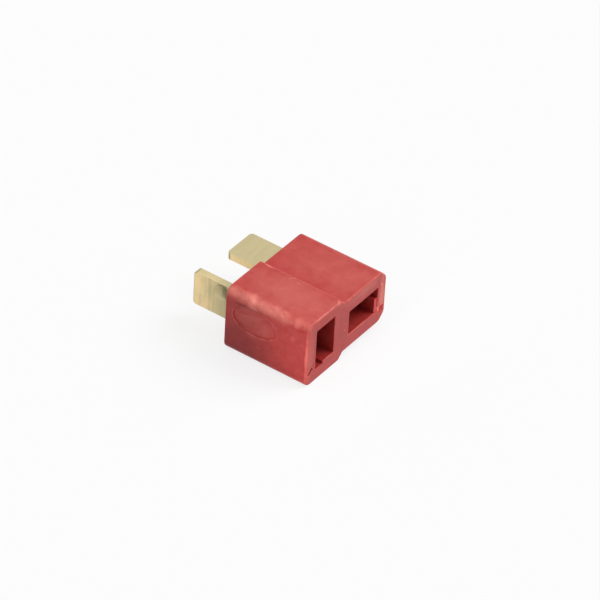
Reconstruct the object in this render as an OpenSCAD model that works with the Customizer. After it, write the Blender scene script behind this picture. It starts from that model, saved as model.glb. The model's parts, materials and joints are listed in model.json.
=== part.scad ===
// T-plug connector, socket half: a one-piece moulded housing and two straight contact strips.
// It lies flat. The mating face looks to -Y, the solder tabs leave towards +Y, and Z is up.

/* [Housing] */
// Width across both sockets
body_w = 16; // [14.4:0.1:19.2]
// Length from the mating face to the rear face
body_l = 12; // [10:0.1:16]
// Height of the tall half, round the upright socket
tall_h = 9.1; // [8.6:0.1:11]
// Drop of the low half's top, and rise of its underside
shoulder_drop = 0.8; // [0.3:0.05:1.1]
// Run of the slope between the two halves
shoulder_run = 0.85; // [0.4:0.05:1.3]
// Width of the tall half's flat top
tall_w = 6.7; // [6.3:0.05:7.3]
// Radius of the long upper edge of the tall half
upper_edge_r = 1.2; // [0.6:0.05:1.5]
// Radius of the long lower edge of the tall half
lower_edge_r = 1; // [0.5:0.05:1.2]
// Chamfer on both long edges of the low half
low_edge_cut = 1.05; // [0.5:0.05:1.4]
// Rounding of the tall half's rim round the mating face
front_rim_r = 0.2; // [0.15:0.05:0.5]
// Rounding of the tall half's rim round the rear face
rear_rim_r = 0.2; // [0.1:0.05:0.4]
// Share of those roundings that the low half's rims have
low_rim_share = 0.85; // [0.6:0.05:0.9]

/* [Sockets] */
// Width of the upright socket
upright_w = 3.65; // [3.2:0.05:3.9]
// Height of the upright socket
upright_h = 5.8; // [5.6:0.1:6.2]
// Wall beside the upright socket
upright_wall = 1.9; // [1.6:0.05:2.1]
// Width of the flat socket
flat_w = 5.9; // [5.6:0.1:6.2]
// Height of the flat socket
flat_h = 3.5; // [3:0.05:3.9]
// Wall beside the flat socket
flat_wall = 1.6; // [1.45:0.05:1.8]
// Thickness of the rear wall that holds the contacts
rear_wall = 2.6; // [1.6:0.1:3.5]
// Depth of the wide mouth in front of the contacts
mouth_depth = 1.6; // [1.1:0.1:2.4]
// Height of the blade guide on the upright socket's floor
upright_guide = 0.4; // [0.2:0.05:0.6]
// Width of the blade guide along the flat socket's right side
flat_guide = 0.6; // [0.2:0.05:0.8]
// Setback of the flat socket's guide from the mating face
guide_setback = 0.1; // [0.1:0.05:0.6]

/* [Contacts] */
// Width of each contact strip
strip_w = 4.9; // [4.4:0.1:5.2]
// Thickness of each contact strip
strip_t = 1; // [0.8:0.05:1.2]
// Length of each solder tab behind the housing
tab_out = 6.4; // [4.5:0.1:9]
// Corner radius at the end of a solder tab
tab_corner_r = 0.5; // [0.3:0.1:1.5]
// Distance from a socket's outer wall to its contact
strip_inset = 0.5; // [0.3:0.05:0.7]
// Clearance between a contact and its slot, on each side
strip_gap = 0.03; // [0.02:0.01:0.1]
// Bevel at a contact's front end
strip_lead = 0.3; // [0.1:0.05:0.4]
// Depth of the solder scoop pressed into a tab
scoop_depth = 0.4; // [0.1:0.05:0.5]
// Radius of the scoop seen on the tab
scoop_r = 1.1; // [0.8:0.05:1.2]
// Distance of the scoop's middle behind the housing
scoop_back = 2.2; // [1.5:0.1:4]
// Height of the scoop's middle above the strip's middle
scoop_up = 1.2; // [0:0.05:1.2]

/* [Bare oval] */
// Length of the shallow oval on the left side
oval_l = 6.4; // [4:0.1:7.5]
// Height of the oval
oval_h = 3.7; // [2:0.1:3.9]
// Depth of the oval
oval_depth = 0.2; // [0.1:0.05:0.4]
// Distance of the oval's middle from the rear face
oval_from_rear = 4.3; // [3.9:0.1:6]
// Height of the oval's middle above the middle of the housing
oval_up = 1.35; // [0:0.05:1.4]

/* [Hidden] */
$fn = 64;
// How far a cutter runs past the surface it starts from
overcut = 0.05;

overall_l = body_l + tab_out;
mid_z = tall_h / 2;
low_top = tall_h - shoulder_drop;
low_bottom = shoulder_drop;
// From a socket's outer wall to the inner face of its contact
strip_face = strip_inset + strip_t;
flat_mid_x = body_w - flat_wall - flat_w / 2;
flat_ceiling = mid_z + flat_h / 2;
cavity_depth = body_l - rear_wall;
strip_l = overall_l - mouth_depth;
// The scoop is part of a ball, whose radius follows from the scoop's own radius and depth
ball_r = (scoop_r * scoop_r + scoop_depth * scoop_depth) / (2 * scoop_depth);

// Each half runs on into the other by this much, and the slopes of the tall half run on at their own angle
lap = 1;
slope_reach = 1 + lap / shoulder_run;
root_x = tall_w + slope_reach * shoulder_run;
root_z = slope_reach * shoulder_drop;
// Each half's section, seen from the mating face: every corner's X, Z and radius, anticlockwise
tall_section = [
    [0, 0, lower_edge_r],
    [tall_w, 0, 0],
    [root_x, root_z, 0],
    [root_x, tall_h - root_z, 0],
    [tall_w, tall_h, 0],
    [0, tall_h, upper_edge_r],
];
low_section = [
    [tall_w - lap, low_bottom, 0],
    [body_w - low_edge_cut, low_bottom, 0],
    [body_w, low_bottom + low_edge_cut, 0],
    [body_w, low_top - low_edge_cut, 0],
    [body_w - low_edge_cut, low_top, 0],
    [tall_w - lap, low_top, 0],
];

// These read corner i of a section s, whose corners all bulge out
function corner(s, i) = let(c = s[i % len(s)]) [c[0], c[1]];
function radius(s, i) = s[i % len(s)][2];
function along(angle) = [cos(angle), sin(angle)];
// Heading of the edge that leaves corner i, and of the one that comes to it
function heading(s, i) = let(d = corner(s, i + 1) - corner(s, i)) atan2(d[1], d[0]);
function arrival(s, i) = heading(s, i + len(s) - 1);
function turn(s, i) = (heading(s, i) - arrival(s, i) + 360) % 360;
function setback(s, i) = radius(s, i) * tan(turn(s, i) / 2);
function arc_start(s, i) = corner(s, i) - setback(s, i) * along(arrival(s, i));
function arc_end(s, i) = corner(s, i) + setback(s, i) * along(heading(s, i));
function arc_centre(s, i) = arc_start(s, i) + radius(s, i) * along(arrival(s, i) + 90);

// Seats a shape drawn from the housing's lower left front corner in the connector's own frame
module in_place() {
    translate([-body_w / 2, -overall_l / 2, 0])
        children();
}

// The tip that a rounded corner leaves out of the section
module corner_tip(s, i) {
    reach = 1 + overcut / radius(s, i);
    centre = arc_centre(s, i);
    difference() {
        polygon([arc_start(s, i), centre + reach * (corner(s, i) - centre), arc_end(s, i)]);
        translate(centre)
            circle(radius(s, i));
    }
}

module section(s) {
    difference() {
        polygon([for (i = [0:len(s) - 1]) corner(s, i)]);
        for (i = [0:len(s) - 1])
            if (radius(s, i) > 0)
                corner_tip(s, i);
    }
}

// What a rounded rim leaves out, as inward distance and depth from the sharp edge
module rim_waste(r) {
    difference() {
        translate([-overcut, -overcut])
            square(r + overcut);
        translate([r, r])
            circle(r);
    }
}

// Waste along the straight edge that leaves corner i. It runs on past a sharp corner, into its neighbour.
module rim_edge(s, i, r) {
    before = radius(s, i) > 0 ? 0 : r;
    after = radius(s, i + 1) > 0 ? 0 : r;
    start = arc_end(s, i) - before * along(heading(s, i));
    translate([start[0], 0, start[1]])
        rotate([0, -heading(s, i), 0])
            rotate([90, 0, 90])
                linear_extrude(norm(arc_start(s, i + 1) - start) + after)
                    rim_waste(r);
}

// Waste round the rounded corner i
module rim_corner(s, i, r) {
    centre = arc_centre(s, i);
    translate([centre[0], 0, centre[1]])
        rotate([-90, 0, 0])
            rotate([0, 0, 90 - heading(s, i)])
                rotate_extrude(angle = turn(s, i))
                    translate([radius(s, i), 0])
                        mirror([1, 0])
                            rim_waste(r);
}

module rim(s, r) {
    for (i = [0:len(s) - 1]) {
        rim_edge(s, i, r);
        if (radius(s, i) > 0)
            rim_corner(s, i, r);
    }
}

// One half of the housing's outside, with a rounded rim at both ends
module half(s, rim_share) {
    difference() {
        translate([0, body_l, 0])
            rotate([90, 0, 0])
                linear_extrude(body_l)
                    section(s);
        rim(s, rim_share * front_rim_r);
        translate([0, body_l, 0])
            mirror([0, 1, 0])
                rim(s, rim_share * rear_rim_r);
    }
}

// A socket, drawn from the middle of its contact's wall. X runs away from that wall and Z along the strip.
// The blade guide stands at the guide_side end of Z, guide_h high, from guide_from behind the mating face.
module socket(w, h, guide_side, guide_h, guide_from) {
    translate([0, -overcut, -h / 2])
        cube([strip_face, mouth_depth + overcut, h]);
    translate([strip_face - overcut, -overcut, -h / 2])
        cube([w - strip_face + overcut, guide_from + overcut, h]);
    translate([strip_face - overcut, -overcut, -h / 2 + (guide_side < 0 ? guide_h : 0)])
        cube([w - strip_face + overcut, cavity_depth + overcut, h - guide_h]);
    translate([strip_inset - strip_gap, mouth_depth - overcut, -strip_w / 2 - strip_gap])
        cube([strip_t + 2 * strip_gap, body_l - mouth_depth + 2 * overcut, strip_w + 2 * strip_gap]);
}

module upright_seat() {
    translate([upright_wall, 0, mid_z])
        children();
}

module flat_seat() {
    translate([flat_mid_x, 0, flat_ceiling])
        rotate([0, 90, 0])
            children();
}

module side_oval() {
    translate([-overcut, body_l - oval_from_rear, mid_z + oval_up])
        rotate([0, 90, 0])
            linear_extrude(oval_depth + overcut)
                scale([oval_h / oval_l, 1])
                    circle(oval_l / 2);
}

module housing() {
    color([0.78, 0.2, 0.19])
        in_place()
            difference() {
                union() {
                    half(tall_section, 1);
                    half(low_section, low_rim_share);
                }
                upright_seat()
                    socket(upright_w, upright_h, -1, upright_guide, 0);
                flat_seat()
                    socket(flat_h, flat_w, 1, flat_guide, guide_setback);
                side_oval();
            }
}

module strip_outline() {
    difference() {
        translate([0, -strip_w / 2])
            square([strip_l, strip_w]);
        for (side = [-1, 1])
            translate([strip_l - tab_corner_r, side * (strip_w / 2 - tab_corner_r)])
                difference() {
                    translate([0, side > 0 ? 0 : -tab_corner_r - overcut])
                        square(tab_corner_r + overcut);
                    circle(tab_corner_r);
                }
    }
}

// One contact strip, standing on edge, drawn from the middle of its front end
module strip() {
    bevel = strip_lead * sqrt(2);
    difference() {
        rotate([90, 0, 90])
            translate([0, 0, -strip_t / 2])
                linear_extrude(strip_t)
                    strip_outline();
        for (side = [-1, 1])
            translate([side * strip_t / 2, 0, 0])
                rotate([0, 0, 45])
                    cube([bevel, bevel, strip_w + 2 * overcut], center = true);
        translate([-strip_t / 2 + scoop_depth - ball_r, strip_l - tab_out + scoop_back, scoop_up])
            sphere(ball_r);
    }
}

module upright_contact() {
    color([0.83, 0.74, 0.47])
        in_place()
            translate([upright_wall + strip_inset + strip_t / 2, mouth_depth, mid_z])
                strip();
}

module flat_contact() {
    color([0.83, 0.74, 0.47])
        in_place()
            translate([flat_mid_x, mouth_depth, flat_ceiling - strip_inset - strip_t / 2])
                rotate([0, -90, 0])
                    strip();
}

housing();
upright_contact();
flat_contact();
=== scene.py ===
import json
import math

import bmesh
import bpy
from mathutils import Matrix, Vector, noise

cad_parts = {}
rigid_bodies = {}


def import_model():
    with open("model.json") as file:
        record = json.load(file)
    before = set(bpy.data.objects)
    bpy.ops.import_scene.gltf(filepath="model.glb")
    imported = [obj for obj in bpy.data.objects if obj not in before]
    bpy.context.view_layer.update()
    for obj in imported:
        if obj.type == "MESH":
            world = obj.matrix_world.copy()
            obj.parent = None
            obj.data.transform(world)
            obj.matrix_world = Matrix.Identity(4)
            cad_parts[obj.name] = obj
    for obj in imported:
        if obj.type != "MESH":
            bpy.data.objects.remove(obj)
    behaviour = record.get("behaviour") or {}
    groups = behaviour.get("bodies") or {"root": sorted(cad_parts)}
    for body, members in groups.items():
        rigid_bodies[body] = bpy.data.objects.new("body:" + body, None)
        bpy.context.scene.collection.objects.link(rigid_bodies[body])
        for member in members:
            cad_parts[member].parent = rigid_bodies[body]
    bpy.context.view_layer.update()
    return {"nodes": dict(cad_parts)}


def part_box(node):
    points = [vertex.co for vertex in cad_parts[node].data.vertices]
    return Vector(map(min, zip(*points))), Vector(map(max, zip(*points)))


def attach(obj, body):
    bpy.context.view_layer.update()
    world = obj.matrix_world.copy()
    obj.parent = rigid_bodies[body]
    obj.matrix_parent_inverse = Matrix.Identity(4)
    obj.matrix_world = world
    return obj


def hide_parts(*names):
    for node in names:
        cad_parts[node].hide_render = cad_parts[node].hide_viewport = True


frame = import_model()
scene = bpy.context.scene
mm = 0.001
near = 1e-4  # mm, how close two values are that count as the same
weld = 0.002  # mm, corners closer than this are merged after a cut
print("frame loaded:", sorted(frame["nodes"]))


def cadBox(node):
    low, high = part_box(node)
    return Vector(low) / mm, Vector(high) / mm


# Camera

photoView = {
    "azimuth": 56.06,  # degrees from the mating side round to the left side
    "elevation": 38.76,
    "roll": 3.36,
    "distance": 600,  # mm
    "focalLength": 303.4,
    "aim": (0, -3.3, 4.0),  # mm, a point in the middle of the housing
    "aimInPicture": (305.85, 309.28),  # where that point shows in a picture 600 across
    "pictureMiddle": 300,
    "pixelsPerMm": 8.428,
    "clip": (0.01, 20),  # metres
}


def makeCamera(view):
    azimuth = math.radians(view["azimuth"])
    elevation = math.radians(view["elevation"])
    roll = math.radians(view["roll"])
    level = Vector((math.cos(azimuth), -math.sin(azimuth), 0))
    back = Vector((0, 0, math.sin(elevation)))
    back -= Vector((math.sin(azimuth), math.cos(azimuth), 0)) * math.cos(elevation)
    upright = back.cross(level)
    right = math.cos(roll) * level + math.sin(roll) * upright
    up = math.cos(roll) * upright - math.sin(roll) * level
    x, y = view["aimInPicture"]
    middle = view["pictureMiddle"]
    slide = ((middle - x) * right + (y - middle) * up) / view["pixelsPerMm"]
    place = (Vector(view["aim"]) + view["distance"] * back + slide) * mm
    lens = bpy.data.cameras.new("camera")
    lens.lens = view["focalLength"]
    lens.clip_start, lens.clip_end = view["clip"]
    camera = bpy.data.objects.new("camera", lens)
    scene.collection.objects.link(camera)
    turn = Matrix((right, up, back)).transposed().to_4x4()
    camera.matrix_world = Matrix.Translation(place) @ turn
    scene.camera = camera


makeCamera(photoView)
print("camera made")


# Mesh tools. Pieces are modelled in millimetres and brought to metres when they are finished.
# Every round or bevel is given as its size in mm and its number of steps.

edgeWear = {
    "bendFrom": 12,  # degrees, where an outside edge starts to wear
    "bendOver": 24,  # degrees more, until it is fully worn
    "faceUnder": 0.5,  # square mm, larger faces aren't part of an edge
}


def bevel(bm, edges, size, steps):
    bmesh.ops.bevel(
        bm, geom=edges, offset=size, offset_type="OFFSET",
        segments=steps, profile=0.5, affect="EDGES", material=-1)


def edgesAt(bm, **place):
    # the edges whose two ends both lie at the given x, y or z
    def liesThere(v):
        return all(abs(getattr(v.co, axis) - value) < near for axis, value in place.items())

    return [edge for edge in bm.edges if all(liesThere(v) for v in edge.verts)]


def sharpEdges(edges, degrees):
    least = math.radians(degrees)
    return [edge for edge in edges if edge.is_manifold and edge.calc_face_angle() > least]


def standOut(v):
    # from 0 on a flat or in a corner to 1 on an outside edge
    bends = [edge.calc_face_angle_signed(0) for edge in v.link_edges if edge.is_manifold]
    total = math.degrees(sum(max(0, bend) for bend in bends))
    return min(1, max(0, (total - edgeWear["bendFrom"]) / edgeWear["bendOver"]))


def markEdges(bm, name, strength):
    # kept per face corner, because a flat face stays clean up to its border
    marksAndPaintedLight = bm.loops.layers.float.new(name)
    bm.normal_update()
    for face in bm.faces:
        if face.calc_area() < edgeWear["faceUnder"]:
            for loop in face.loops:
                loop[marksAndPaintedLight] = strength * standOut(loop.vert)
    return marksAndPaintedLight


def boxCutter(low, high):
    low, high = Vector(low), Vector(high)
    bm = bmesh.new()
    bmesh.ops.create_cube(bm, size=1, matrix=Matrix.LocRotScale((low + high) / 2, None, high - low))
    return bm


def ballCutter(middle, radius, poles, steps):
    bm = bmesh.new()
    place = Matrix.Translation(middle) @ Matrix.Rotation(math.pi / 2, 4, poles)
    bmesh.ops.create_uvsphere(
        bm, u_segments=3 * steps, v_segments=2 * steps, radius=radius, matrix=place)
    return bm


def meshObject(name, bm):
    mesh = bpy.data.meshes.new(name)
    bm.to_mesh(mesh)
    bm.free()
    made = bpy.data.objects.new(name, mesh)
    scene.collection.objects.link(made)
    return made


def carve(bm, cutters):
    # cuts every cutter out of bm and gives back the carved bmesh
    body = meshObject("uncarved", bm)
    bench = bpy.data.collections.new("cutters")
    scene.collection.children.link(bench)
    for number, cutter in enumerate(cutters):
        tool = meshObject("cutter" + str(number), cutter)
        scene.collection.objects.unlink(tool)
        bench.objects.link(tool)
    cut = body.modifiers.new("cut", "BOOLEAN")
    cut.operation = "DIFFERENCE"
    cut.solver = "EXACT"
    cut.operand_type = "COLLECTION"
    cut.collection = bench
    bpy.context.view_layer.update()
    cutBody = body.evaluated_get(bpy.context.evaluated_depsgraph_get())
    carvedMesh = bpy.data.meshes.new_from_object(cutBody)
    carved = bmesh.new()
    carved.from_mesh(carvedMesh)
    bpy.data.meshes.remove(carvedMesh)
    for tool in [body, *bench.objects]:
        mesh = tool.data
        bpy.data.objects.remove(tool)
        bpy.data.meshes.remove(mesh)
    bpy.data.collections.remove(bench)
    bmesh.ops.remove_doubles(carved, verts=carved.verts, dist=weld)
    carved.normal_update()
    return carved


def finishPiece(name, bm, node, material, sharpAngle):
    bmesh.ops.scale(bm, vec=(mm, mm, mm), verts=bm.verts)
    for face in bm.faces:
        face.smooth = True
    piece = meshObject(name, bm)
    piece.data.set_sharp_from_angle(angle=math.radians(sharpAngle))
    piece.data.materials.append(material)
    flatten = piece.modifiers.new("flatFaces", "WEIGHTED_NORMAL")
    flatten.keep_sharp = True
    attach(piece, "root")
    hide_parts(node)
    print("made", name, "with", len(piece.data.polygons), "faces")


# Node tools

def feed(tree, socket, value):
    # the value is another node's output, or a plain number or colour
    if isinstance(value, bpy.types.NodeSocket):
        tree.links.new(value, socket)
    else:
        socket.default_value = value


def addNode(tree, kind, inputs=None, **settings):
    made = tree.nodes.new("ShaderNode" + kind)
    for name, value in settings.items():
        setattr(made, name, value)
    for name, value in (inputs or {}).items():
        feed(tree, made.inputs[name], value)
    return made


def calculate(tree, operation, first, second=0.5, clamp=False):
    # ABSOLUTE makes no use of a second value
    made = addNode(tree, "Math", {0: first, 1: second}, operation=operation, use_clamp=clamp)
    return made.outputs[0]


def ramp(tree, value, span, gives=(0.0, 1.0)):
    # brings the span of the value smoothly to what it gives, and holds it there on both sides
    made = addNode(tree, "MapRange", {
        "Value": value,
        "From Min": span[0],
        "From Max": span[1],
        "To Min": gives[0],
        "To Max": gives[1],
    }, interpolation_type="SMOOTHSTEP")
    return made.outputs["Result"]


def mixColours(tree, factor, first, second):
    mix = addNode(tree, "Mix", data_type="RGBA", blend_type="MIX")
    for index, value in ((0, factor), (6, first), (7, second)):
        feed(tree, mix.inputs[index], value)
    return mix.outputs[2]


def noiseTexture(tree, place, scale, detail=2.0, **inputs):
    made = addNode(tree, "TexNoise", {"Vector": place, "Scale": scale, "Detail": detail, **inputs})
    return made.outputs["Fac"]


def unevenness(tree, place, shape):
    cloud = noiseTexture(tree, place, shape["scale"], shape["detail"])
    return ramp(tree, cloud, shape["span"], shape["gives"])


def attribute(tree, name, output="Fac"):
    return addNode(tree, "Attribute", attribute_name=name).outputs[output]


# Marks of moulding and handling, shared by the nylon and the plating

handling = {
    "mottleSpan": (0.3, 0.7),
    "scratchTurns": ((0.3, 0.9, 0.4), (1.1, 0.2, 1.9)),  # two directions, in radians
    "scratchStretch": (1, 0.12, 1),
    "patchSpan": (0.54, 0.66),  # scratches show only in patches
}


def handledSurfaceGroup():
    tree = bpy.data.node_groups.new("handledSurface", "ShaderNodeTree")
    tree.interface.new_socket(name="Place", in_out="INPUT", socket_type="NodeSocketVector")
    for name in ("Grain Scale", "Mottle Scale", "Scratch Scale", "Scratch Width"):
        tree.interface.new_socket(name=name, in_out="INPUT", socket_type="NodeSocketFloat")
    for name in ("Grain", "Mottle", "Scratches"):
        tree.interface.new_socket(name=name, in_out="OUTPUT", socket_type="NodeSocketFloat")
    given = tree.nodes.new("NodeGroupInput").outputs
    result = tree.nodes.new("NodeGroupOutput").inputs
    place = given["Place"]
    grain = noiseTexture(tree, place, given["Grain Scale"], detail=3.0)
    tree.links.new(grain, result["Grain"])
    mottle = noiseTexture(tree, place, given["Mottle Scale"], detail=4.0, Roughness=0.6)
    tree.links.new(ramp(tree, mottle, handling["mottleSpan"]), result["Mottle"])
    scratches = []
    for turn in handling["scratchTurns"]:
        # a thin line wherever a stretched noise crosses its middle value
        laid = {"Vector": place, "Rotation": turn, "Scale": handling["scratchStretch"]}
        turned = addNode(tree, "Mapping", laid).outputs[0]
        value = noiseTexture(tree, turned, given["Scratch Scale"], detail=1.0)
        offLine = calculate(tree, "ABSOLUTE", calculate(tree, "SUBTRACT", value, 0.5))
        offLine = calculate(tree, "DIVIDE", offLine, given["Scratch Width"])
        scratches.append(calculate(tree, "SUBTRACT", 1.0, offLine, clamp=True))
    either = calculate(tree, "MAXIMUM", *scratches)
    patches = noiseTexture(tree, place, given["Mottle Scale"], detail=2.0, Distortion=1.0)
    patches = ramp(tree, patches, handling["patchSpan"])
    tree.links.new(calculate(tree, "MULTIPLY", either, patches), result["Scratches"])
    return tree


handledSurface = handledSurfaceGroup()


def surfaceMarks(tree, place, finish):
    return addNode(tree, "Group", {
        "Place": place,
        "Grain Scale": finish["grainScale"],
        "Mottle Scale": finish["mottleScale"],
        "Scratch Scale": finish["scratchScale"],
        "Scratch Width": finish["scratchWidth"],
    }, node_tree=handledSurface).outputs


def addBump(tree, shader, height, scratches, finish):
    sunk = calculate(tree, "MULTIPLY", scratches, finish["scratchDepth"])
    bump = addNode(tree, "Bump", {
        "Strength": finish["bumpStrength"],
        "Distance": finish["bumpDistance"],
        "Height": calculate(tree, "SUBTRACT", height, sunk),
    })
    tree.links.new(bump.outputs["Normal"], shader.inputs["Normal"])


def newMaterial(name):
    material = bpy.data.materials.new(name)
    material.use_nodes = True
    tree = material.node_tree
    return material, tree, tree.nodes["Principled BSDF"]


# Nylon

nylonFinish = {
    "deepRed": (0.43, 0.031, 0.027, 1),
    "paleRed": (0.47, 0.048, 0.042, 1),
    # painted sheen
    "paintedSheenRed": (0.64, 0.17, 0.14, 1),
    # pale wear, and painted highlights
    "wearAndHighlightRed": (0.9, 0.27, 0.215, 1),
    # painted shade
    "darkRed": (0.15, 0.009, 0.008, 1),
    "clearRed": (0.85, 0.02, 0.015, 1),
    "roughness": (0.32, 0.41),  # from the smooth to the dull parts of the mottle
    "ior": 1.34,
    "scatter": 0.12,
    "scatterReach": (1.0, 0.2, 0.1),
    "scatterScale": 0.0005,  # metres
    "grainScale": 3200,
    "mottleScale": 900,
    "scratchScale": 420,
    "scratchWidth": 0.012,
    "scratchWear": 0.14,  # how pale a scratch is
    "scratchDepth": 0.35,
    "grainHeight": 0.35,
    "peelScale": 1100.0,
    "bumpStrength": 0.35,
    "bumpDistance": 0.00006,  # metres
    "edge": {"scale": 600.0, "detail": 2.0, "span": (0.4, 0.65), "gives": (0.03, 0.32)},
    "ragged": {"span": (0.35, 0.65), "gives": (-0.35, 0.45)},  # of the grain
    "cloudy": {"scale": 500.0, "detail": 4.0, "span": (0.3, 0.7), "gives": (-0.12, 0.12)},
    "lumpy": {"scale": 700.0, "detail": 2.0, "span": (0.25, 0.75), "gives": (-0.16, 0.16)},
    "patchFade": (0.1, 1.0),  # a patch fades between these shares of its size
}


def patch(at, size, strength, turn=(0, 0, 0)):
    # middle and half sizes in mm, and the turn in degrees that lays the sizes along the patch
    return {"at": at, "size": size, "strength": strength, "turn": turn}


# ragged pale marks: scratches, nicks and burrs, and painted highlights on the crest's rear and a rim
# burr
scuffsAndGlints = {
    # pale marks with a painted highlight along the crest
    "crestRear": patch((-1.42, 1.35, 9.05), (0.85, 0.15, 0.3), 0.7, (0, 0, 80)),
    "crestMiddle": patch((-1.2, -2.6, 9.0), (1.6, 0.12, 0.3), 0.15, (0, 0, 90)),
    "crestFront": patch((-1.6, -9.1, 8.95), (0.7, 0.4, 0.5), 0.55),
    "topScratch": patch((-1.73, -2.02, 9.1), (0.75, 0.06, 0.2), 0.5, (0, 0, -51)),
    "topCross": patch((-1.9, -3.4, 9.1), (0.5, 0.05, 0.2), 0.3, (0, 0, 62)),
    # a burr line with a painted highlight on it
    "mouthBurr": patch((7.1, -9.2, 6.37), (0.85, 0.2, 0.09), 1.0, (0, 69, 0)),
    "bridgeMarkLow": patch((-0.3, -9.2, 4.05), (0.16, 0.2, 0.1), 0.6, (0, 30, 0)),
    "bridgeMarkHigh": patch((-0.28, -9.2, 5.0), (0.2, 0.2, 0.06), 0.6, (0, 80, 0)),
}
# lumpy pale marks: wear, and painted highlights and sheen along the edges
rubsAndHighlights = {
    # painted highlight along the worn upper left edge
    "upperEdge": patch((-7.65, -1.0, 8.75), (11.5, 1.2, 1.1), 0.72, (0, 0, 90)),
    # painted highlight, a bright blob on that edge
    "edgeHighlight": patch((-7.65, -0.95, 8.65), (1.6, 1.3, 1.3), 1.0, (0, 0, 90)),
    # painted highlight down the front left corner, partly wear
    "frontCorner": patch((-8.05, -9.25, 4.6), (0.4, 0.4, 7.0), 0.8),
    # painted light on the left strip of the mating face
    "frontLeft": patch((-7.4, -9.2, 4.6), (1.2, 0.4, 6.0), 0.16),
    # painted sheen on the right strip of the mating face, partly wear
    "rightStrip": patch((7.3, -9.2, 4.6), (0.9, 0.5, 4.5), 0.5),
    "plusBurr": patch((6.68, -9.2, 2.8), (0.95, 0.6, 0.32), 1.0, (0, 59, 0)),
    # a paler floor in the oval
    "ovalGround": patch((-7.7, -1.5, 5.9), (0.25, 4.5, 2.8), 0.19),
}
# painted sheen: paler, milkier tops and a band above the flat socket, where gloss catches the light
paintedSheens = {
    "tallTop": patch((-4.2, -4.5, 9.4), (5.4, 12.0, 1.2), 0.46),
    "lowTop": patch((3.5, -5.2, 8.6), (6.5, 13.0, 1.0), 0.32),
    "overSocket": patch((3.4, -9.2, 7.8), (4.5, 0.4, 1.4), 0.45),
}
# painted shade: darker areas where shade and shadow fall
paintedShades = {
    # painted shade, low on the rear of the left side
    "leftRear": patch((-8.0, 0.2, 0.5), (1.5, 9.0, 8.0), 0.47),
    # painted shadow under the oval's upper rim
    "ovalTop": patch((-8.0, -0.7, 7.68), (0.6, 2.8, 0.42), 0.75),
    # painted shadow along the oval's lower rim
    "ovalStreak": patch((-7.8, -0.1, 4.9), (0.5, 1.2, 0.2), 0.6, (14, 0, 0)),
    # painted shade on the mating face between the sockets
    "bridge": patch((-0.9, -9.2, 4.0), (1.8, 0.5, 4.5), 0.14),
}
# clear red, where light comes through thin nylon
glows = {
    "plus": patch((7.1, -9.2, 2.85), (0.8, 0.5, 0.8), 0.6),
    "flatLedge": patch((6.1, -9.15, 4.6), (0.5, 0.4, 2.8), 0.55),
    "frontCorner": patch((-7.95, -9.25, 4.6), (0.6, 0.5, 7.0), 0.3),
}


def patchMask(tree, place, spot, border, fade):
    laid = addNode(tree, "Mapping", {
        "Vector": place,
        "Location": Vector(spot["at"]) * mm,
        "Rotation": [math.radians(angle) for angle in spot["turn"]],
        "Scale": Vector(spot["size"]) * mm,
    }, vector_type="TEXTURE").outputs[0]
    reach = addNode(tree, "VectorMath", {0: laid}, operation="LENGTH").outputs["Value"]
    return ramp(tree, calculate(tree, "ADD", reach, border), fade, (spot["strength"], 0.0))


def redNylon(finish):
    material, tree, shader = newMaterial("redNylon")
    place = addNode(tree, "TexCoord").outputs["Object"]
    marks = surfaceMarks(tree, place, finish)

    def strongest(first, patches, border):
        # the border's unevenness shapes the outline of every patch
        for spot in patches.values():
            mask = patchMask(tree, place, spot, border, finish["patchFade"])
            first = calculate(tree, "MAXIMUM", first, mask)
        return first

    ragged = ramp(tree, marks["Grain"], finish["ragged"]["span"], finish["ragged"]["gives"])
    cloudy = unevenness(tree, place, finish["cloudy"])
    lumpy = unevenness(tree, place, finish["lumpy"])
    edges = unevenness(tree, place, finish["edge"])
    marksAndPaintedLight = calculate(tree, "MULTIPLY", attribute(tree, "rubbed"), edges)
    scratched = calculate(tree, "MULTIPLY", marks["Scratches"], finish["scratchWear"])
    marksAndPaintedLight = calculate(tree, "MAXIMUM", marksAndPaintedLight, scratched)
    marksAndPaintedLight = strongest(strongest(marksAndPaintedLight, scuffsAndGlints, ragged), rubsAndHighlights, lumpy)
    layers = {
        # painted sheen on the tops and above the flat socket
        "paintedSheenRed": strongest(0.0, paintedSheens, cloudy),
        # painted shade deep in the sockets and in the painted shade patches
        "darkRed": strongest(attribute(tree, "socketShade"), paintedShades, cloudy),
        # wear, scratches and scuffs, with painted highlights and sheen
        "wearAndHighlightRed": marksAndPaintedLight,
        "clearRed": strongest(0.0, glows, cloudy),
    }
    colour = mixColours(tree, marks["Mottle"], finish["deepRed"], finish["paleRed"])
    for name, share in layers.items():
        colour = mixColours(tree, share, colour, finish[name])
    tree.links.new(colour, shader.inputs["Base Color"])
    rough = ramp(tree, marks["Mottle"], (0, 1), finish["roughness"])
    tree.links.new(rough, shader.inputs["Roughness"])
    grain = calculate(tree, "MULTIPLY", marks["Grain"], finish["grainHeight"])
    height = calculate(tree, "ADD", grain, noiseTexture(tree, place, finish["peelScale"]))
    addBump(tree, shader, height, marks["Scratches"], finish)
    shader.inputs["IOR"].default_value = finish["ior"]
    shader.inputs["Subsurface Weight"].default_value = finish["scatter"]
    shader.inputs["Subsurface Radius"].default_value = finish["scatterReach"]
    shader.inputs["Subsurface Scale"].default_value = finish["scatterScale"]
    return material


# Plating. Its stain and painted shade run from 0 for bright through 0.5 for dull to 1 for olive.

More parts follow.
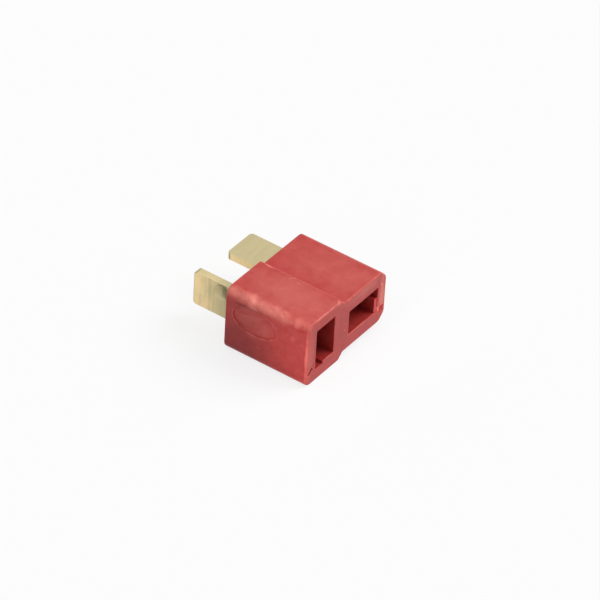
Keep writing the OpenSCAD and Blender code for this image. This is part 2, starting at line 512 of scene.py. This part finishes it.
platingFinish = {
    "bright": (0.84, 0.65, 0.35, 1),
    "dull": (0.5, 0.43, 0.245, 1),
    "olive": (0.24, 0.22, 0.12, 1),
    "shadeSpan": (10, 17),  # mm along the strip, where painted shade near the housing thins out towards its bright end
    "shadeGives": (0.68, 0.0),
    "filmClouds": {"scale": 420.0, "detail": 2.0, "span": (0.35, 0.65), "gives": (-0.01, 0.12)},
    "mottleGives": (-0.03, 0.06),
    "streakScale": 2600.0,
    "streakStretch": (1, 1, 0.06),
    "streakSpan": (0.4, 0.75),
    "streakGives": (-0.03, 0.08),
    "roughSpan": (0.3, 0.7),  # of the streaks
    "roughness": (0.32, 0.48),
    "stainRoughness": 0.12,
    "grainScale": 2500,
    "mottleScale": 520,
    "scratchScale": 700,
    "scratchWidth": 0.015,
    "scratchDepth": 0.5,
    "bumpStrength": 0.3,
    "bumpDistance": 0.00002,  # metres
}


def palePlating(finish):
    material, tree, shader = newMaterial("palePlating")
    place = attribute(tree, "stripPlace", "Vector")
    marks = surfaceMarks(tree, place, finish)
    brushed = addNode(tree, "Mapping", {"Vector": place, "Scale": finish["streakStretch"]}).outputs[0]
    streaks = noiseTexture(tree, brushed, finish["streakScale"], detail=3.0)
    along = addNode(tree, "SeparateXYZ", {0: place}).outputs["Y"]
    # painted shade, darker towards the housing
    shadeSpan = [length * mm for length in finish["shadeSpan"]]
    shadeNearHousing = ramp(tree, along, shadeSpan, finish["shadeGives"])
    shadeNearHousing = calculate(tree, "ADD", shadeNearHousing, unevenness(tree, place, finish["filmClouds"]))
    # edge tarnish, with painted shade in the scoop, on the upper side and near the housing
    stainAndShade = calculate(tree, "MAXIMUM", attribute(tree, "tarnishAndShade"), shadeNearHousing)
    stainAndShade = calculate(tree, "ADD", stainAndShade, ramp(tree, marks["Mottle"], (0, 1), finish["mottleGives"]))
    streaky = ramp(tree, streaks, finish["streakSpan"], finish["streakGives"])
    stainAndShade = calculate(tree, "ADD", stainAndShade, streaky, clamp=True)
    colour = mixColours(tree, ramp(tree, stainAndShade, (0.0, 0.5)), finish["bright"], finish["dull"])
    colour = mixColours(tree, ramp(tree, stainAndShade, (0.5, 1.0)), colour, finish["olive"])
    tree.links.new(colour, shader.inputs["Base Color"])
    shader.inputs["Metallic"].default_value = 1.0
    rough = ramp(tree, streaks, finish["roughSpan"], finish["roughness"])
    stained = calculate(tree, "MULTIPLY", stainAndShade, finish["stainRoughness"])
    tree.links.new(calculate(tree, "ADD", rough, stained), shader.inputs["Roughness"])
    addBump(tree, shader, streaks, marks["Scratches"], finish)
    return material


nylon = redNylon(nylonFinish)
plating = palePlating(platingFinish)
print("materials made")


# Housing. Sizes are in mm.

housingShape = {
    "tallWidth": 6.7,  # the flat top of the half round the upright socket
    "slopeRun": 0.85,  # from the tall half down to the low half
    "slopeDrop": 0.8,
    "upperRound": (1.2, 24),  # long left edges
    "lowerRound": (1.0, 12),
    "chamfer": 1.05,  # long right edges
    "chamferRound": (0.4, 4),
    "frontRim": (0.2, 5),
    "rearRim": (0.2, 4),
    "cornerRound": (0.1, 3),  # every other outside corner
    "cornerAngle": 24,  # degrees, from which an edge is such a corner
    "cutAngle": 60,  # degrees, from which an edge was left by a cut
    "mouthRound": (0.09, 3),  # round the sockets' mouths
    "holeRound": (0.05, 2),  # round the strips' slots
    "sharpAngle": 35,
    # painted shade in the sockets
    "insideShade": (0.3, 0.6),  # at a socket's mouth, and how much more at its end
    "shadeAfter": 1.5,  # times the guide's setback, so that the ledge's front stays red
    "sockets": {
        "uprightWall": 1.9,
        "uprightSize": (3.65, 5.8),
        "uprightGuide": 0.4,  # height of the ledge on its floor
        "flatWall": 1.6,
        "flatSize": (5.9, 3.5),
        "flatGuide": 0.6,  # width of the ledge along its right side
        "guideSetback": 0.1,
        "depth": 9.4,
        "slotGap": 0.03,
        "lap": 0.2,  # how far one cut runs into the next
        "reach": 3,  # from the middle height, just past both sockets
    },
    "oval": {
        "length": 6.4,
        "height": 3.7,
        "depth": 0.2,
        "fromRear": 4.3,
        "up": 1.35,
        "softness": (0.13, 3),  # rounding of its rim and of its foot
        "segments": 96,
        "rings": 11,  # steps from its foot to its middle
        "grain": 0.1,  # height of the uneven ground
        "grainFade": 6,  # the higher, the nearer to the rim the ground turns even
        "waves": (
            {"alongY": 0.5, "alongZ": 1.5, "slant": 0.6, "layer": 3, "share": 1.0},
            {"alongY": 1.4, "alongZ": 2.6, "slant": 0.0, "layer": 8, "share": 0.4},
        ),
    },
    "marks": {
        "length": 1.1,
        "stroke": 0.38,
        "endRound": (0.45, 4),  # as a share of the stroke
        "edgeRound": (0.06, 2),
        "strokes": (  # middle on the mating face, and degrees
            {"at": (-7.11, 1.99), "angle": -42, "depth": 0.18},  # minus
            {"at": (7.14, 2.68), "angle": -45, "depth": 0.18},  # plus
            {"at": (7.14, 2.68), "angle": 45, "depth": 0.1},
        ),
    },
    "nick": {"at": (-1.2, -9.34, 9.05), "radius": 0.4, "steps": 10},  # at the front of the crest
    "ripple": {
        "steps": 180,  # along the upper left edge
        "coarse": 0.9,
        "fine": 2.4,
        "fineShare": 0.5,
        "height": 0.07,
        "fadePower": 0.6,  # towards the top and the side
        "fadeLength": 0.5,  # towards the rims
        "border": 0.01,  # share of the round that stays even along the top and the side
    },
    # on the same edge: how far along Y, and how far round from the top (0) to the side (1)
    "dents": (
        {"y": -0.9, "turn": 0.58, "radius": 0.75, "depth": -0.11},
        {"y": -2.4, "turn": 0.7, "radius": 0.6, "depth": 0.08},
        {"y": -3.65, "turn": 0.46, "radius": 0.4, "depth": 0.12},
        {"y": -4.5, "turn": 0.72, "radius": 0.4, "depth": 0.1},
        {"y": -5.25, "turn": 0.42, "radius": 0.38, "depth": 0.12},
        {"y": -5.3, "turn": 0.08, "radius": 0.4, "depth": 0.07},
        {"y": -6.3, "turn": 0.3, "radius": 0.3, "depth": 0.07},
        {"y": -7.8, "turn": 0.58, "radius": 0.45, "depth": 0.1},
        {"y": 1.1, "turn": 0.35, "radius": 0.4, "depth": 0.07},
    ),
}


def outerShell(shape, low, high):
    crest = low.x + shape["tallWidth"]
    foot = crest + shape["slopeRun"]
    lowFloor = low.z + shape["slopeDrop"]
    lowTop = high.z - shape["slopeDrop"]
    cut = shape["chamfer"]
    chamfers = [
        (high.x - cut, lowFloor), (high.x, lowFloor + cut),
        (high.x, lowTop - cut), (high.x - cut, lowTop),
    ]
    outline = [(low.x, low.z), (crest, low.z), (foot, lowFloor), *chamfers]
    outline += [(foot, lowTop), (crest, high.z), (low.x, high.z)]
    bm = bmesh.new()
    front = bm.faces.new([bm.verts.new((x, low.y, z)) for x, z in outline])
    swept = bmesh.ops.extrude_face_region(bm, geom=[front])
    rear = [item for item in swept["geom"] if isinstance(item, bmesh.types.BMVert)]
    bmesh.ops.translate(bm, verts=rear, vec=(0, high.y - low.y, 0))
    bmesh.ops.recalc_face_normals(bm, faces=bm.faces)
    bevel(bm, edgesAt(bm, x=low.x, z=high.z), *shape["upperRound"])
    bevel(bm, edgesAt(bm, x=low.x, z=low.z), *shape["lowerRound"])
    for x, z in chamfers:
        bevel(bm, edgesAt(bm, x=x, z=z), *shape["chamferRound"])
    bevel(bm, edgesAt(bm, y=low.y), *shape["frontRim"])
    bevel(bm, edgesAt(bm, y=high.y), *shape["rearRim"])
    bm.normal_update()
    bevel(bm, sharpEdges(bm.edges, shape["cornerAngle"]), *shape["cornerRound"])
    return bm


def socketCutters(shape, low, high):
    middle = high.z / 2
    out, gap, lap = 1, shape["slotGap"], shape["lap"]
    mouth, end = low.y - out, low.y + shape["depth"]

    def slotCutter(strip, stripEnd):
        start = (strip.x - gap, strip.y - lap, strip.z - gap)
        return boxCutter(start, (stripEnd.x + gap, high.y + out, stripEnd.z + gap))

    strip, stripEnd = cadBox("upright_contact")
    width, height = shape["uprightSize"]
    left = low.x + shape["uprightWall"]
    floor, ceiling = middle - height / 2, middle + height / 2
    guide = floor + shape["uprightGuide"]
    yield boxCutter((left, mouth, floor), (stripEnd.x, strip.y, ceiling))
    yield boxCutter((stripEnd.x - lap, mouth, guide), (left + width, end, ceiling))
    yield slotCutter(strip, stripEnd)

    strip, stripEnd = cadBox("flat_contact")
    width, height = shape["flatSize"]
    right = high.x - shape["flatWall"]
    left, guide = right - width, right - shape["flatGuide"]
    floor, ceiling = middle - height / 2, middle + height / 2
    guideFront = low.y + shape["guideSetback"]
    yield boxCutter((left, mouth, strip.z), (right, strip.y, ceiling))
    yield boxCutter((left, mouth, floor), (guide, end, strip.z + lap))
    yield boxCutter((guide - lap, mouth, floor), (right, guideFront, strip.z + lap))
    yield slotCutter(strip, stripEnd)


def ovalCutter(shape, low, high):
    # an oval disc lying on the side, whose inner end is uneven
    out = 0.5
    size = Vector((shape["depth"] + out, shape["length"], shape["height"]))
    ground = low.x + shape["depth"]
    middle = Vector((ground - size.x / 2, high.y - shape["fromRear"], high.z / 2 + shape["up"]))
    place = Matrix.LocRotScale(middle, None, size) @ Matrix.Rotation(math.pi / 2, 4, "Y")
    bm = bmesh.new()
    bmesh.ops.create_cone(
        bm, cap_ends=True, segments=shape["segments"], radius1=0.5, radius2=0.5, depth=1, matrix=place)
    bm.normal_update()
    bevel(bm, edgesAt(bm, x=ground), *shape["softness"])
    inner = max(bm.faces, key=lambda face: face.calc_center_median().x)
    toMiddle = Matrix.Translation(-middle)
    for ring in range(shape["rings"], 0, -1):
        bmesh.ops.inset_individual(bm, faces=[inner], thickness=0)
        shrink = ring / (ring + 1)
        bmesh.ops.scale(bm, vec=(1, shrink, shrink), space=toMiddle, verts=inner.verts)
    for v in bm.verts:
        x, y, z = v.co
        if abs(x - ground) < near:
            fromMiddle = Vector((2 * (y - middle.y) / size.y, 2 * (z - middle.z) / size.z)).length
            rise = 0
            for wave in shape["waves"]:
                spot = (wave["alongY"] * y, wave["alongZ"] * z + wave["slant"] * y, wave["layer"])
                rise += wave["share"] * noise.noise(Vector(spot))
            v.co.x += shape["grain"] * rise * (1 - fromMiddle ** shape["grainFade"])
    return bm


def strokeCutter(shape, stroke, face):
    # a round-ended bar, sunk in the mating face
    x, z = stroke["at"]
    size = Vector((shape["length"], 2 * stroke["depth"], shape["stroke"]))
    share, steps = shape["endRound"]
    bm = bmesh.new()
    bmesh.ops.create_cube(bm, size=1, matrix=Matrix.LocRotScale(None, None, size))
    for side in (-1, 1):
        for half in (-1, 1):
            ends = edgesAt(bm, x=side * shape["length"] / 2, z=half * shape["stroke"] / 2)
            bevel(bm, ends, share * shape["stroke"], steps)
    turn = Matrix.Rotation(math.radians(stroke["angle"]), 3, "Y")
    bmesh.ops.rotate(bm, matrix=turn, verts=bm.verts)
    bmesh.ops.translate(bm, vec=(x, face, z), verts=bm.verts)
    return bm


def rippleUpperEdge(bm, shape, low, high):
    ripple = shape["ripple"]
    radius = shape["upperRound"][0]
    axis = Vector((low.x + radius, 0, high.z - radius))
    frontRim, rearRim, border = shape["frontRim"][0], shape["rearRim"][0], ripple["border"]

    def reachOf(v):
        return Vector((v.co.x - axis.x, 0, v.co.z - axis.z))

    def onArc(v):
        reach = reachOf(v)
        return reach.x < near and reach.z > -near and abs(reach.length - radius) < near

    long = [edge for edge in bm.edges if edge.calc_length() > radius]
    lines = [edge for edge in long if all(onArc(v) for v in edge.verts)]
    bmesh.ops.subdivide_edges(bm, edges=lines, cuts=ripple["steps"], use_grid_fill=True)
    for v in bm.verts:
        if not onArc(v):
            continue
        reach = reachOf(v)
        turn = math.atan2(-reach.x, reach.z) / (math.pi / 2)
        fromEnds = min(v.co.y - low.y - frontRim, high.y - rearRim - v.co.y)
        if fromEnds < near or turn < border or turn > 1 - border:
            continue
        fade = math.sin(math.pi * turn) ** ripple["fadePower"]
        fade *= min(1, fromEnds / ripple["fadeLength"])
        rise = noise.noise(v.co * ripple["coarse"])
        rise += ripple["fineShare"] * noise.noise(v.co * ripple["fine"])
        rise *= ripple["height"]
        for dent in shape["dents"]:
            roundEdge = (turn - dent["turn"]) * radius * math.pi / 2
            away = math.hypot(v.co.y - dent["y"], roundEdge) / dent["radius"]
            if away < 1:
                rise -= dent["depth"] * (math.cos(math.pi * away) + 1) / 2
        v.co += reach.normalized() * rise * fade


def mouldedHousing(shape):
    sockets, oval, marks, nick = shape["sockets"], shape["oval"], shape["marks"], shape["nick"]
    low, high = cadBox("housing")
    left = low.x + sockets["uprightWall"] - near
    right = high.x - sockets["flatWall"] + near

    def besideSockets(place):
        return left < place.x < right and abs(place.z - high.z / 2) < sockets["reach"]

    cutters = [*socketCutters(sockets, low, high), ovalCutter(oval, low, high)]
    cutters += [strokeCutter(marks, stroke, low.y) for stroke in marks["strokes"]]
    bm = carve(outerShell(shape, low, high), cutters)

    def cutEdges(**place):
        return sharpEdges(edgesAt(bm, **place), shape["cutAngle"])

    mouths = [edge for edge in cutEdges(y=low.y) if all(besideSockets(v.co) for v in edge.verts)]
    bevel(bm, mouths, *shape["mouthRound"])
    bevel(bm, cutEdges(y=low.y), *marks["edgeRound"])
    bevel(bm, cutEdges(x=low.x), *oval["softness"])
    bevel(bm, cutEdges(y=high.y), *shape["holeRound"])
    rippleUpperEdge(bm, shape, low, high)
    bm = carve(bm, [ballCutter(nick["at"], nick["radius"], "X", nick["steps"])])
    markEdges(bm, "rubbed", 1)
    # painted shade, darker deeper into each socket
    socketShade = bm.loops.layers.float.new("socketShade")
    mouthShade, endShade = shape["insideShade"]
    shadeFrom = low.y + shape["shadeAfter"] * sockets["guideSetback"]
    for face in bm.faces:
        middle = face.calc_center_median()
        if besideSockets(middle) and shadeFrom < middle.y < high.y - near:
            for loop in face.loops:
                deep = min(1, (loop.vert.co.y - low.y) / sockets["depth"])
                loop[socketShade] = mouthShade + endShade * deep
    finishPiece("moulded_housing", bm, "housing", nylon, shape["sharpAngle"])


# Contacts. Sizes are in mm.

stripShape = {
    "tabRound": (0.5, 8),  # corners at the tab's end
    "lead": (0.3, 2),  # bevel at the end in the socket
    "edgeRound": (0.09, 3),
    "edgeAngle": 25,  # degrees, from which an edge is rounded
    "edgeStain": 0.65,
    "scoopRadius": 1.1,
    "scoopDepth": 0.4,
    "scoopBack": 2.2,  # from the housing
    "scoopUp": 1.2,  # above the strip's middle
    "scoopSteps": 32,
    # painted shade in the scoop
    "scoopShade": 0.9,
    "shadeTilt": 0.5,  # painted shade, how much darker towards the housing
    "shadePower": 0.4,  # how soon the painted shade sets in with depth
    "upwards": 0.7,  # a face whose normal rises more than this counts as the upper side
    "sharpAngle": 40,
}
# turn about the length in degrees, place in the plating's pattern and painted shade that dulls the
# upper side
strips = {
    "upright_strip": {
        "node": "upright_contact", "turn": 0, "patternShift": (0, 0, 0), "topShade": 0.34},
    "flat_strip": {
        "node": "flat_contact", "turn": -90, "patternShift": (9, 4, 2), "topShade": 0.5},
}


def contactStrip(name, strip, shape):
    low, high = cadBox(strip["node"])
    rear = cadBox("housing")[1].y
    size = high - low
    thickness, width = sorted((size.x, size.z))
    place = Matrix.LocRotScale((0, size.y / 2, 0), None, Vector((thickness, size.y, width)))
    bm = bmesh.new()
    bmesh.ops.create_cube(bm, size=1, matrix=place)
    for side in (-1, 1):
        bevel(bm, edgesAt(bm, y=size.y, z=side * width / 2), *shape["tabRound"])
        bevel(bm, edgesAt(bm, y=0, x=side * thickness / 2), *shape["lead"])
    depth = shape["scoopDepth"]
    ballRadius = (shape["scoopRadius"] ** 2 + depth ** 2) / (2 * depth)
    scoopSide = -thickness / 2
    ballAt = (scoopSide + depth - ballRadius, rear + shape["scoopBack"] - low.y, shape["scoopUp"])
    ball = Vector(ballAt)
    bm = carve(bm, [ballCutter(ball, ballRadius, "Y", shape["scoopSteps"])])
    bevel(bm, sharpEdges(bm.edges, shape["edgeAngle"]), *shape["edgeRound"])
    stripPlace = bm.verts.layers.float_vector.new("stripPlace")
    for v in bm.verts:
        v[stripPlace] = (v.co + Vector(strip["patternShift"])) * mm
    tarnishAndShade = markEdges(bm, "tarnishAndShade", shape["edgeStain"])
    # painted shade in the scoop, darker towards the housing
    for v in bm.verts:
        deep = (v.co.x - scoopSide) / depth
        if deep > near and (v.co - ball).length < ballRadius + near:
            towardsHousing = (ball.y - v.co.y) / shape["scoopRadius"]
            stainAndShade = shape["scoopShade"] + shape["shadeTilt"] * towardsHousing
            for loop in v.link_loops:
                loop[tarnishAndShade] = min(1, max(0, deep ** shape["shadePower"] * stainAndShade))
    turn = Matrix.Rotation(math.radians(strip["turn"]), 3, "Y")
    bmesh.ops.rotate(bm, matrix=turn, verts=bm.verts)
    bmesh.ops.translate(bm, vec=((low.x + high.x) / 2, low.y, (low.z + high.z) / 2), verts=bm.verts)
    bm.normal_update()
    # painted shade that dulls the upper side
    for face in bm.faces:
        if face.normal.z > shape["upwards"]:
            for loop in face.loops:
                loop[tarnishAndShade] = max(loop[tarnishAndShade], strip["topShade"])
    finishPiece(name, bm, strip["node"], plating, shape["sharpAngle"])


mouldedHousing(housingShape)
for name, strip in strips.items():
    contactStrip(name, strip, stripShape)


# Floor and light

studio = {
    "floorSize": 3,  # metres
    "floorWhite": 0.8,
    "floorLift": 0.8,  # how much of the floor is pure white to the camera and in reflections
    "worldStrength": 0.37,
    "sunDistance": 300,  # mm
}
# soft light from far away, softness in degrees
suns = {
    "key": {"towards": (0.5, -0.45, 0.74), "strength": 1.9, "softness": 40},
    "overhead": {"towards": (-0.05, 0.0, 1.0), "strength": 0.8, "softness": 60},
    "rearLeft": {"towards": (-0.63, 0.43, 0.65), "strength": 0.1, "softness": 30},
}
# a narrow soft beam on the front left corner, in mm and watts
cornerBeam = {
    "facing": (-8, -9.5, 3.5),
    "towards": (-0.95, 0.05, 0.3),
    "distance": 150,
    "halfWidth": 10,
    "power": 0.33,
    "softness": 3,
}


def seenDirectly(tree):
    # 1 for what the camera sees, straight or in a reflection, and 0 for light falling on a surface
    path = addNode(tree, "LightPath").outputs
    seen = calculate(tree, "ADD", path["Is Camera Ray"], path["Is Glossy Ray"], clamp=True)
    return calculate(tree, "ADD", seen, path["Is Transmission Ray"], clamp=True)


def makeFloor():
    bm = bmesh.new()
    bmesh.ops.create_grid(bm, x_segments=1, y_segments=1, size=studio["floorSize"])
    floor = meshObject("floor", bm)
    material, tree, shader = newMaterial("paleFloor")
    tree.nodes.remove(shader)
    white = studio["floorWhite"]
    paper = addNode(tree, "BsdfDiffuse", {"Color": (white, white, white, 1)})
    glow = addNode(tree, "Emission", {"Color": (1, 1, 1, 1), "Strength": 1.0})
    share = calculate(tree, "MULTIPLY", seenDirectly(tree), studio["floorLift"])
    mixed = addNode(tree, "MixShader", {0: share, 1: paper.outputs[0], 2: glow.outputs[0]})
    tree.links.new(mixed.outputs[0], tree.nodes["Material Output"].inputs["Surface"])
    floor.data.materials.append(material)


def makeWorld():
    world = bpy.data.worlds.new("studio")
    scene.world = world
    world.use_nodes = True
    tree = world.node_tree
    background = tree.nodes["Background"].inputs
    background["Color"].default_value = (1, 1, 1, 1)
    strength = addNode(tree, "MapRange", {
        "Value": seenDirectly(tree), "To Min": studio["worldStrength"], "To Max": 1.0})
    tree.links.new(strength.outputs["Result"], background["Strength"])


def placeLamp(light, facing, towards, distance):
    lamp = bpy.data.objects.new(light.name, light)
    scene.collection.objects.link(lamp)
    towards = Vector(towards).normalized()
    place = (Vector(facing) + towards * distance) * mm
    turn = towards.to_track_quat("Z", "Y").to_matrix().to_4x4()
    lamp.matrix_world = Matrix.Translation(place) @ turn


def makeLamps():
    for name, sun in suns.items():
        light = bpy.data.lights.new(name, "SUN")
        light.energy = sun["strength"]
        light.angle = math.radians(sun["softness"])
        placeLamp(light, (0, 0, 0), sun["towards"], studio["sunDistance"])
    beam = bpy.data.lights.new("cornerBeam", "SPOT")
    beam.energy = cornerBeam["power"]
    beam.spot_size = 2 * math.atan(cornerBeam["halfWidth"] / cornerBeam["distance"])
    beam.spot_blend = 1.0
    beam.shadow_soft_size = cornerBeam["softness"] * mm
    placeLamp(beam, cornerBeam["facing"], cornerBeam["towards"], cornerBeam["distance"])


makeFloor()
makeWorld()
makeLamps()
scene.view_settings.view_transform = "Standard"
print("floor and light made")

bpy.context.view_layer.update()
